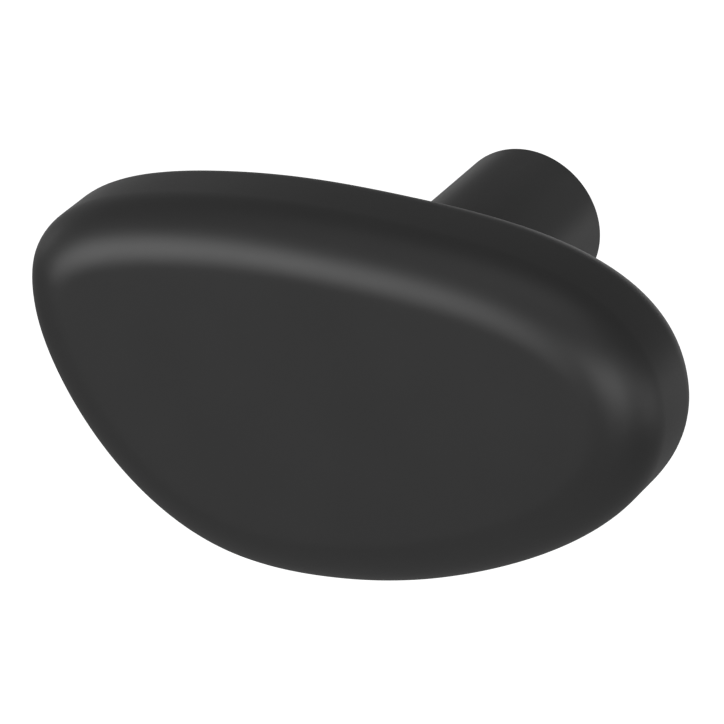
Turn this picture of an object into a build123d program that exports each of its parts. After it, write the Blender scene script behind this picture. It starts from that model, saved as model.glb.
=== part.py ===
"""Cabinet knob: a flat pebble of a head on a round post, cast in one piece and tapped for one M4 screw.

The door's face is the plane y = 0, the post stands on it along -Y, and the head faces -Y.
"""

import math
import os

from build123d import *

# Head
head_width = 45.7
head_height = 26.7
front_round = 4.0
straight_wall = 3.2
back_round = 2.5

# Post
post_diameter = 11.0
post_length = 23.5
root_round = 1.0
base_round = 0.2

# Screw hole, drilled for an M4 thread
thread_diameter = 4.0
tapping_diameter = 3.3
mouth_clearance = 0.4
hole_depth = 14.0
drill_point_angle = 118.0

# Outline of the head about the post's axis, anticlockwise from its right end, where it runs upright,
# as shares of the head's width and height
pebble_shares = [
    (0.503, 0.075),
    (0.482, 0.225),
    (0.059, 0.473),
    (-0.245, 0.442),
    (-0.494, 0.207),
    (-0.497, 0.124),
    (-0.458, -0.094),
    (-0.185, -0.503),
    (0.004, -0.517),
    (0.218, -0.422),
]
upright = (0, 1)

pebble_points = [(x * head_width, z * head_height) for x, z in pebble_shares]
head_depth = front_round + straight_wall + back_round
tapping_radius = tapping_diameter / 2
mouth_radius = (thread_diameter + mouth_clearance) / 2
mouth_depth = mouth_radius - tapping_radius
drill_point_depth = tapping_radius / math.tan(math.radians(drill_point_angle / 2))

with BuildPart() as knob:
    # Pebble head, with a wide round on its front edge and a smaller one behind
    with BuildSketch(Plane.XZ.offset(post_length)):
        with BuildLine():
            Spline(*pebble_points, pebble_points[0], tangents=[upright, upright], tangent_scalars=[1, 1])
        make_face()
    extrude(amount=head_depth)
    front_face = knob.faces().sort_by(Axis.Y).first
    fillet(front_face.edges(), radius=front_round)
    back_face = knob.faces().sort_by(Axis.Y).last
    fillet(back_face.edges(), radius=back_round)

    # Post, rounded at its root as a casting is, and eased at the base
    with BuildSketch(Plane.XZ):
        Circle(post_diameter / 2)
    extrude(amount=post_length)
    circles = knob.edges().filter_by(GeomType.CIRCLE)
    root_edge = circles.filter_by_position(Axis.Y, -post_length, -post_length)
    fillet(root_edge, radius=root_round)
    base_face = knob.faces().sort_by(Axis.Y).last
    fillet(base_face.edges(), radius=base_round)

    # Blind hole for the screw, with a countersunk mouth and the drill's cone at its end
    with BuildSketch(Plane.XY):
        with BuildLine():
            Polyline(
                (0, 0),
                (mouth_radius, 0),
                (tapping_radius, -mouth_depth),
                (tapping_radius, -hole_depth),
                (0, -hole_depth - drill_point_depth),
                close=True,
            )
        make_face()
    revolve(axis=Axis.Y, mode=Mode.SUBTRACT)

os.makedirs("parts", exist_ok=True)
knob.part.label = "knob"
export_step(knob.part, "parts/knob.step")
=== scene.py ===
"""A matt black cabinet knob with a pebble-shaped head, on a white studio floor."""

import math

import bmesh
import bpy
import numpy as np
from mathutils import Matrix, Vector
from mathutils.geometry import interpolate_bezier


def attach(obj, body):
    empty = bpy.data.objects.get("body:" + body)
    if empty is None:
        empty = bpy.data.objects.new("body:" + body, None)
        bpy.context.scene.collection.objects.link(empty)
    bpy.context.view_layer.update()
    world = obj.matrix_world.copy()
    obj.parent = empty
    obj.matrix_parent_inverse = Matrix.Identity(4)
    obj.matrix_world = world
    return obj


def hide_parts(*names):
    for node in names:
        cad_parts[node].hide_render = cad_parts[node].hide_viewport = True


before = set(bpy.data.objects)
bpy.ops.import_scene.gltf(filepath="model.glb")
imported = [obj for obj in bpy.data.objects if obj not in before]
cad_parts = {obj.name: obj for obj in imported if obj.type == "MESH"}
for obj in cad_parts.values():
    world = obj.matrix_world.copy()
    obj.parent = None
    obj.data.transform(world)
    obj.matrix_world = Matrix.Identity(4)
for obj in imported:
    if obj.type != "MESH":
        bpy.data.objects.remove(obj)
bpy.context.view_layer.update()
studio = bpy.context.scene
studio.view_settings.view_transform = "Standard"


# Knob: the head and its post are one zinc alloy casting, tumbled smooth and powder-coated matt black.
# The base is drilled and tapped M4 after coating, so the thread shows bare metal.
# One machine screw through the door, into that thread, holds it.
MM = 0.001
head_width = 45.7 * MM
head_height = 26.7 * MM
head_front = -33.2 * MM
head_back = -23.5 * MM
front_round = 4.0 * MM
back_round = 2.5 * MM
post_radius = 5.5 * MM
root_round = 1.0 * MM
base_round = 0.2 * MM
mouth_radius = 2.2 * MM
drill_radius = 1.65 * MM
drill_depth = 14.0 * MM
drill_point_angle = math.radians(118)

# The outline runs through these shares of the head's size, from its right end, where it is upright
pebble_shares = [
    (0.503, 0.075),
    (0.482, 0.225),
    (0.059, 0.473),
    (-0.245, 0.442),
    (-0.494, 0.207),
    (-0.497, 0.124),
    (-0.458, -0.094),
    (-0.185, -0.503),
    (0.004, -0.517),
    (0.218, -0.422),
]
upright = np.array((0, 1))
outline_step = 0.45 * MM

# The direction at each point keeps the curvature even from one span to the next
knots = np.array(pebble_shares + pebble_shares[:1]) * (head_width, head_height)
span = np.linalg.norm(np.diff(knots, axis=0), axis=1)
chord = np.diff(knots, axis=0) / span[:, None]
stiffness = (
    np.diag(2 * (span[:-1] + span[1:]))
    + np.diag(span[:-2], 1)
    + np.diag(span[2:], -1)
)
pull = 3 * (span[1:, None] * chord[:-1] + span[:-1, None] * chord[1:])
pull[0] -= span[1] * upright
pull[-1] -= span[-2] * upright
run = np.vstack([upright, np.linalg.solve(stiffness, pull), upright])

outline = []
for i, length in enumerate(span):
    first, last = knots[i], knots[i + 1]
    reach = length / 3
    flat = [first, first + run[i] * reach, last - run[i + 1] * reach, last]
    controls = [Vector((x, head_back, z)) for x, z in flat]
    outline += interpolate_bezier(*controls, round(length / outline_step) + 1)[:-1]

casting = bmesh.new()
rim = bmesh.ops.create_circle(
    casting, cap_ends=True, segments=len(outline), radius=head_height
)["verts"]
for corner, place in zip(rim, outline):
    corner.co = place
casting.faces.ensure_lookup_table()
back = casting.faces[0]
grown = bmesh.ops.extrude_face_region(casting, geom=[back])["geom"]
front = next(g for g in grown if isinstance(g, bmesh.types.BMFace))
bmesh.ops.translate(casting, verts=front.verts, vec=(0, head_front - head_back, 0))


def ease(edges, radius, facets):
    """Rounds edges of the casting."""
    bmesh.ops.bevel(
        casting,
        geom=edges,
        offset=radius,
        offset_type="OFFSET",
        segments=facets,
        profile=0.5,
        affect="EDGES",
        material=-1,
        clamp_overlap=False,
    )


def lead_on(face, radius, depth):
    """Extrudes an end face and brings its rim to a circle about the post's axis."""
    grown = bmesh.ops.extrude_face_region(casting, geom=[face])["geom"]
    bmesh.ops.delete(casting, geom=[face], context="FACES_ONLY")
    for corner in (g for g in grown if isinstance(g, bmesh.types.BMVert)):
        across = Vector((corner.co.x, 0, corner.co.z)).normalized()
        corner.co = across * radius + Vector((0, depth, 0))
    return next(g for g in grown if isinstance(g, bmesh.types.BMFace))


# Rounds of the head, with a narrow ring inside each so that the flats stay flat
front_facets = 24
back_facets = 12
flat_edge = 0.3 * MM
touching = 1e-7
ease(list(front.edges), front_round, front_facets)
back_rim = [e for e in casting.edges if all(abs(v.co.y - head_back) < touching for v in e.verts)]
ease(back_rim, back_round, back_facets)
front = min(casting.faces, key=lambda f: f.calc_center_median().y)
bmesh.ops.inset_region(casting, faces=[front], thickness=flat_edge, use_even_offset=True)
back = max(casting.faces, key=lambda f: f.calc_center_median().y)
bmesh.ops.inset_region(casting, faces=[back], thickness=flat_edge, use_even_offset=True)

# Post, and the drilled hole in its end
root_facets = 8
base_facets = 4
root = lead_on(back, post_radius, head_back)
root_rim = list(root.edges)
base = lead_on(root, post_radius, 0)
base_rim = list(base.edges)
mouth = lead_on(base, mouth_radius, 0)
bore = lead_on(mouth, drill_radius, drill_radius - mouth_radius)
bore_end = lead_on(bore, drill_radius, -drill_depth)
drill_point = drill_radius / math.tan(drill_point_angle / 2)
bmesh.ops.poke(casting, faces=[bore_end], offset=-drill_point)
ease(root_rim, root_round, root_facets)
ease(base_rim, base_round, base_facets)
bmesh.ops.remove_doubles(casting, verts=casting.verts, dist=touching)
bmesh.ops.recalc_face_normals(casting, faces=casting.faces)

bare = 1
for face in casting.faces:
    face.smooth = True
    drilled = all(Vector((v.co.x, v.co.z)).length < mouth_radius + touching for v in face.verts)
    if drilled and face.calc_center_median().y > head_back:
        face.material_index = bare


# The tap that cuts the thread: a right-handed screw of the thread's form, pointed at both ends
thread_radius = 2.0 * MM
core_radius = 1.55 * MM
pitch = 0.7 * MM
thread_half_angle = math.radians(30)
thread_turns = 17
thread_start = -12.0 * MM
steps_per_turn = 40
turn_seam = 1e-6
flank = (thread_radius - core_radius) * math.tan(thread_half_angle)
crest = pitch / 8
valley = pitch - crest - 2 * flank
form = [
    (core_radius, 0),
    (core_radius, valley),
    (thread_radius, valley + flank),
    (thread_radius, valley + flank + crest),
    (core_radius, pitch),
]
tap = bmesh.new()
corners = [tap.verts.new((radius, thread_start + along, 0)) for radius, along in form]
edges = [tap.edges.new(pair) for pair in zip(corners, corners[1:])]
bmesh.ops.spin(
    tap,
    geom=corners + edges,
    cent=(0, 0, 0),
    axis=(0, 1, 0),
    dvec=(0, pitch / steps_per_turn, 0),
    angle=thread_turns * math.tau,
    steps=thread_turns * steps_per_turn,
)
bmesh.ops.remove_doubles(tap, verts=tap.verts, dist=turn_seam)
open_edges = [e for e in tap.edges if e.is_boundary]
ends = bmesh.ops.extrude_edge_only(tap, edges=open_edges)["geom"]
ends = [g for g in ends if isinstance(g, bmesh.types.BMVert)]
middle = thread_start + thread_turns * pitch / 2
low_end = [v for v in ends if v.co.y < middle]
high_end = [v for v in ends if v.co.y > middle]
low_tip = thread_start - pitch
high_tip = thread_start + (thread_turns + 2) * pitch
bmesh.ops.pointmerge(tap, verts=low_end, merge_co=(0, low_tip, 0))
bmesh.ops.pointmerge(tap, verts=high_end, merge_co=(0, high_tip, 0))
bmesh.ops.recalc_face_normals(tap, faces=tap.faces)


class Value:
    """A socket of a node tree, so that shader maths reads as plain sums."""

    def __init__(self, tree, socket=None):
        self.tree = tree
        self.socket = socket

    def node(self, kind, output=0, settings=None, inputs=None):
        """Adds a node: its settings first, then its sockets' values and links."""
        made = self.tree.nodes.new(kind)
        for name, value in (settings or {}).items():
            setattr(made, name, value)
        for name, value in (inputs or {}).items():
            if isinstance(value, Value):
                self.tree.links.new(value.socket, made.inputs[name])
            else:
                made.inputs[name].default_value = value
        return Value(self.tree, made.outputs[output] if made.outputs else None)

    def maths(self, operation, first, second):
        """Adds a Math node."""
        return self.node(
            "ShaderNodeMath", settings={"operation": operation}, inputs={0: first, 1: second}
        )

    def __add__(self, other):
        return self.maths("ADD", self, other)

    def __mul__(self, other):
        return self.maths("MULTIPLY", self, other)

    __radd__ = __add__
    __rmul__ = __mul__


def finish_named(name):
    """A new material, with its node tree emptied and ready for nodes."""
    material = bpy.data.materials.new(name)
    material.use_nodes = True
    material.node_tree.nodes.clear()
    return material, Value(material.node_tree)


# A Mix node's sockets for colours go by number
FIRST_COLOUR, SECOND_COLOUR, MIXED_COLOUR = 6, 7, 2

# Powder coat: a fine, even orange peel over near-black, a little glossier where the film is smoother
deep_black = (0.018, 0.018, 0.018, 1)
pale_black = (0.023, 0.023, 0.023, 1)
peel_grain = {"Scale": 3800, "Detail": 3, "Roughness": 0.5}
film_grain = {"Scale": 160, "Detail": 2, "Roughness": 0.5}
peel_height = 0.01 * MM
peel_strength = 0.2
coat_smoothest = 0.4
coat_roughening = 0.05
black_coat, shade = finish_named("matt_black_coat")
place = shade.node("ShaderNodeTexCoord", output="Object")
peel = shade.node("ShaderNodeTexNoise", inputs={"Vector": place, **peel_grain})
film = shade.node("ShaderNodeTexNoise", inputs={"Vector": place, **film_grain})
tone = shade.node(
    "ShaderNodeMix",
    output=MIXED_COLOUR,
    settings={"data_type": "RGBA"},
    inputs={
        "Factor": 0.5 * peel + 0.5 * film,
        FIRST_COLOUR: deep_black,
        SECOND_COLOUR: pale_black,
    },
)
bumps = shade.node(
    "ShaderNodeBump",
    inputs={"Strength": peel_strength, "Distance": peel_height, "Height": peel},
)
surface = shade.node(
    "ShaderNodeBsdfPrincipled",
    inputs={
        "Base Color": tone,
        "Roughness": coat_smoothest + coat_roughening * film + coat_roughening * peel,
        "Specular IOR Level": 0.5,
        "Normal": bumps,
    },
)
shade.node("ShaderNodeOutputMaterial", inputs={"Surface": surface})

# Cut thread: bare zinc alloy, with the tap's fine scores in it
dull_zinc = (0.42, 0.42, 0.43, 1)
bright_zinc = (0.58, 0.58, 0.59, 1)
score_grain = {"Scale": 2500, "Detail": 2}
zinc_smoothest = 0.28
zinc_roughening = 0.2
bare_zinc, shade = finish_named("bare_zinc")
place = shade.node("ShaderNodeTexCoord", output="Object")
scores = shade.node("ShaderNodeTexNoise", inputs={"Vector": place, **score_grain})
metal = shade.node(
    "ShaderNodeMix",
    output=MIXED_COLOUR,
    settings={"data_type": "RGBA"},
    inputs={"Factor": scores, FIRST_COLOUR: dull_zinc, SECOND_COLOUR: bright_zinc},
)
surface = shade.node(
    "ShaderNodeBsdfPrincipled",
    inputs={
        "Base Color": metal,
        "Metallic": 1.0,
        "Roughness": zinc_smoothest + zinc_roughening * scores,
    },
)
shade.node("ShaderNodeOutputMaterial", inputs={"Surface": surface})


def piece_from(shape, name, *materials):
    """Makes an object of a finished shape."""
    mesh = bpy.data.meshes.new(name)
    shape.to_mesh(mesh)
    shape.free()
    for material in materials:
        mesh.materials.append(material)
    made = bpy.data.objects.new(name, mesh)
    studio.collection.objects.link(made)
    return made


crease_angle = math.radians(30)
knob = piece_from(casting, "pebble_knob", black_coat, bare_zinc)
cutter = piece_from(tap, "tap", bare_zinc)
cut = knob.modifiers.new("thread", "BOOLEAN")
cut.operation = "DIFFERENCE"
cut.solver = "EXACT"
cut.material_mode = "TRANSFER"
cut.object = cutter
whole = knob.evaluated_get(bpy.context.evaluated_depsgraph_get())
knob.data = bpy.data.meshes.new_from_object(whole)
knob.modifiers.clear()
bpy.data.objects.remove(cutter)
knob.data.set_sharp_from_angle(angle=crease_angle)
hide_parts("knob")
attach(knob, "root")


# Floor: one plain sheet of white paper, well below the knob, which keeps its shadow. It is white to the
# camera, and the far part of it, behind the knob, shows white in gloss and glass too.
floor_depth = -600 * MM
floor_half_width = 5000 * MM
far_part_starts = 250 * MM
far_part_whole = 4800 * MM
paper_tone = (0.53, 0.53, 0.53, 1)
sheet = bmesh.new()
bmesh.ops.create_grid(sheet, x_segments=1, y_segments=1, size=floor_half_width)
bmesh.ops.translate(sheet, verts=sheet.verts, vec=(0, 0, floor_depth))
white_sheet, shade = finish_named("white_sheet")
seen = shade.node("ShaderNodeLightPath", output="Is Camera Ray")
mirrored = shade.node("ShaderNodeLightPath", output="Is Glossy Ray")
mirrored = mirrored + shade.node("ShaderNodeLightPath", output="Is Transmission Ray")
place = shade.node("ShaderNodeTexCoord", output="Object")
behind = shade.node("ShaderNodeSeparateXYZ", output="Y", inputs={0: place})
far_part = shade.node(
    "ShaderNodeMapRange",
    inputs={"Value": behind, "From Min": far_part_starts, "From Max": far_part_whole},
)
paper = shade.node("ShaderNodeBsdfDiffuse", inputs={"Color": paper_tone})
glow = shade.node("ShaderNodeEmission", inputs={"Strength": seen + mirrored * far_part})
both = shade.node("ShaderNodeAddShader", inputs={0: paper, 1: glow})
shade.node("ShaderNodeOutputMaterial", inputs={"Surface": both})
floor = piece_from(sheet, "floor", white_sheet)


# Light: a dim, even room and soft boxes round the knob, the strongest at the front left, all at plain
# levels. Weak ones at the left and behind draw thin lines of light along the left and back edges.
room_level = 0.2
box_distance = 900 * MM
lit_centre = Vector((0, -20, 0)) * MM
room = bpy.data.worlds.new("room")
studio.world = room
room.use_nodes = True
walls = room.node_tree.nodes["Background"].inputs
walls["Color"].default_value = (1, 1, 1, 1)
walls["Strength"].default_value = room_level


def direction(azimuth, elevation):
    """Points from the knob: azimuth 0 is straight out from its face, 90 is to its right."""
    turn = math.radians(azimuth)
    rise = math.radians(elevation)
    across = math.cos(rise)
    return Vector((math.sin(turn) * across, -math.cos(turn) * across, math.sin(rise)))


def soft_box(name, azimuth, elevation, width, height, power):
    """An area lamp that faces the knob: angles in degrees, power in watts."""
    lamp = bpy.data.lights.new(name, "AREA")
    lamp.shape = "RECTANGLE"
    lamp.size = width
    lamp.size_y = height
    lamp.energy = power
    made = bpy.data.objects.new(name, lamp)
    towards = direction(azimuth, elevation)
    made.location = lit_centre + towards * box_distance
    made.rotation_euler = towards.to_track_quat("Z", "Y").to_euler()
    studio.collection.objects.link(made)


soft_box("front_left_box", -34, 11, 650 * MM, 500 * MM, 4.4)
soft_box("front_right_box", 40, 10, 700 * MM, 450 * MM, 2.6)
soft_box("right_box", 70, 12, 600 * MM, 450 * MM, 0.76)
soft_box("far_right_box", 102, -3, 560 * MM, 350 * MM, 0.75)
soft_box("top_box", 10, 77, 800 * MM, 600 * MM, 0.85)
soft_box("left_box", -99, 8, 350 * MM, 250 * MM, 0.27)
soft_box("back_left_box", -130, 14, 600 * MM, 350 * MM, 0.13)
soft_box("back_box", -176, 2, 450 * MM, 250 * MM, 0.28)


# Camera: a long lens, above the knob and to its right, set so that the knob fills the picture.
# It looks at a point just behind the head, near the post's axis.
aim = Vector((-3.099, -20.2, -2.821)) * MM
camera_distance = 400.5 * MM
camera_azimuth = 25.969
camera_elevation = 25.545
sensor_width = 36
focal_length = 295.59
back_to_camera = direction(camera_azimuth, camera_elevation)
lens = bpy.data.cameras.new("camera")
lens.sensor_width = sensor_width
lens.lens = focal_length
camera = bpy.data.objects.new("camera", lens)
camera.location = aim + back_to_camera * camera_distance
camera.rotation_euler = back_to_camera.to_track_quat("Z", "Y").to_euler()
studio.collection.objects.link(camera)
studio.camera = camera
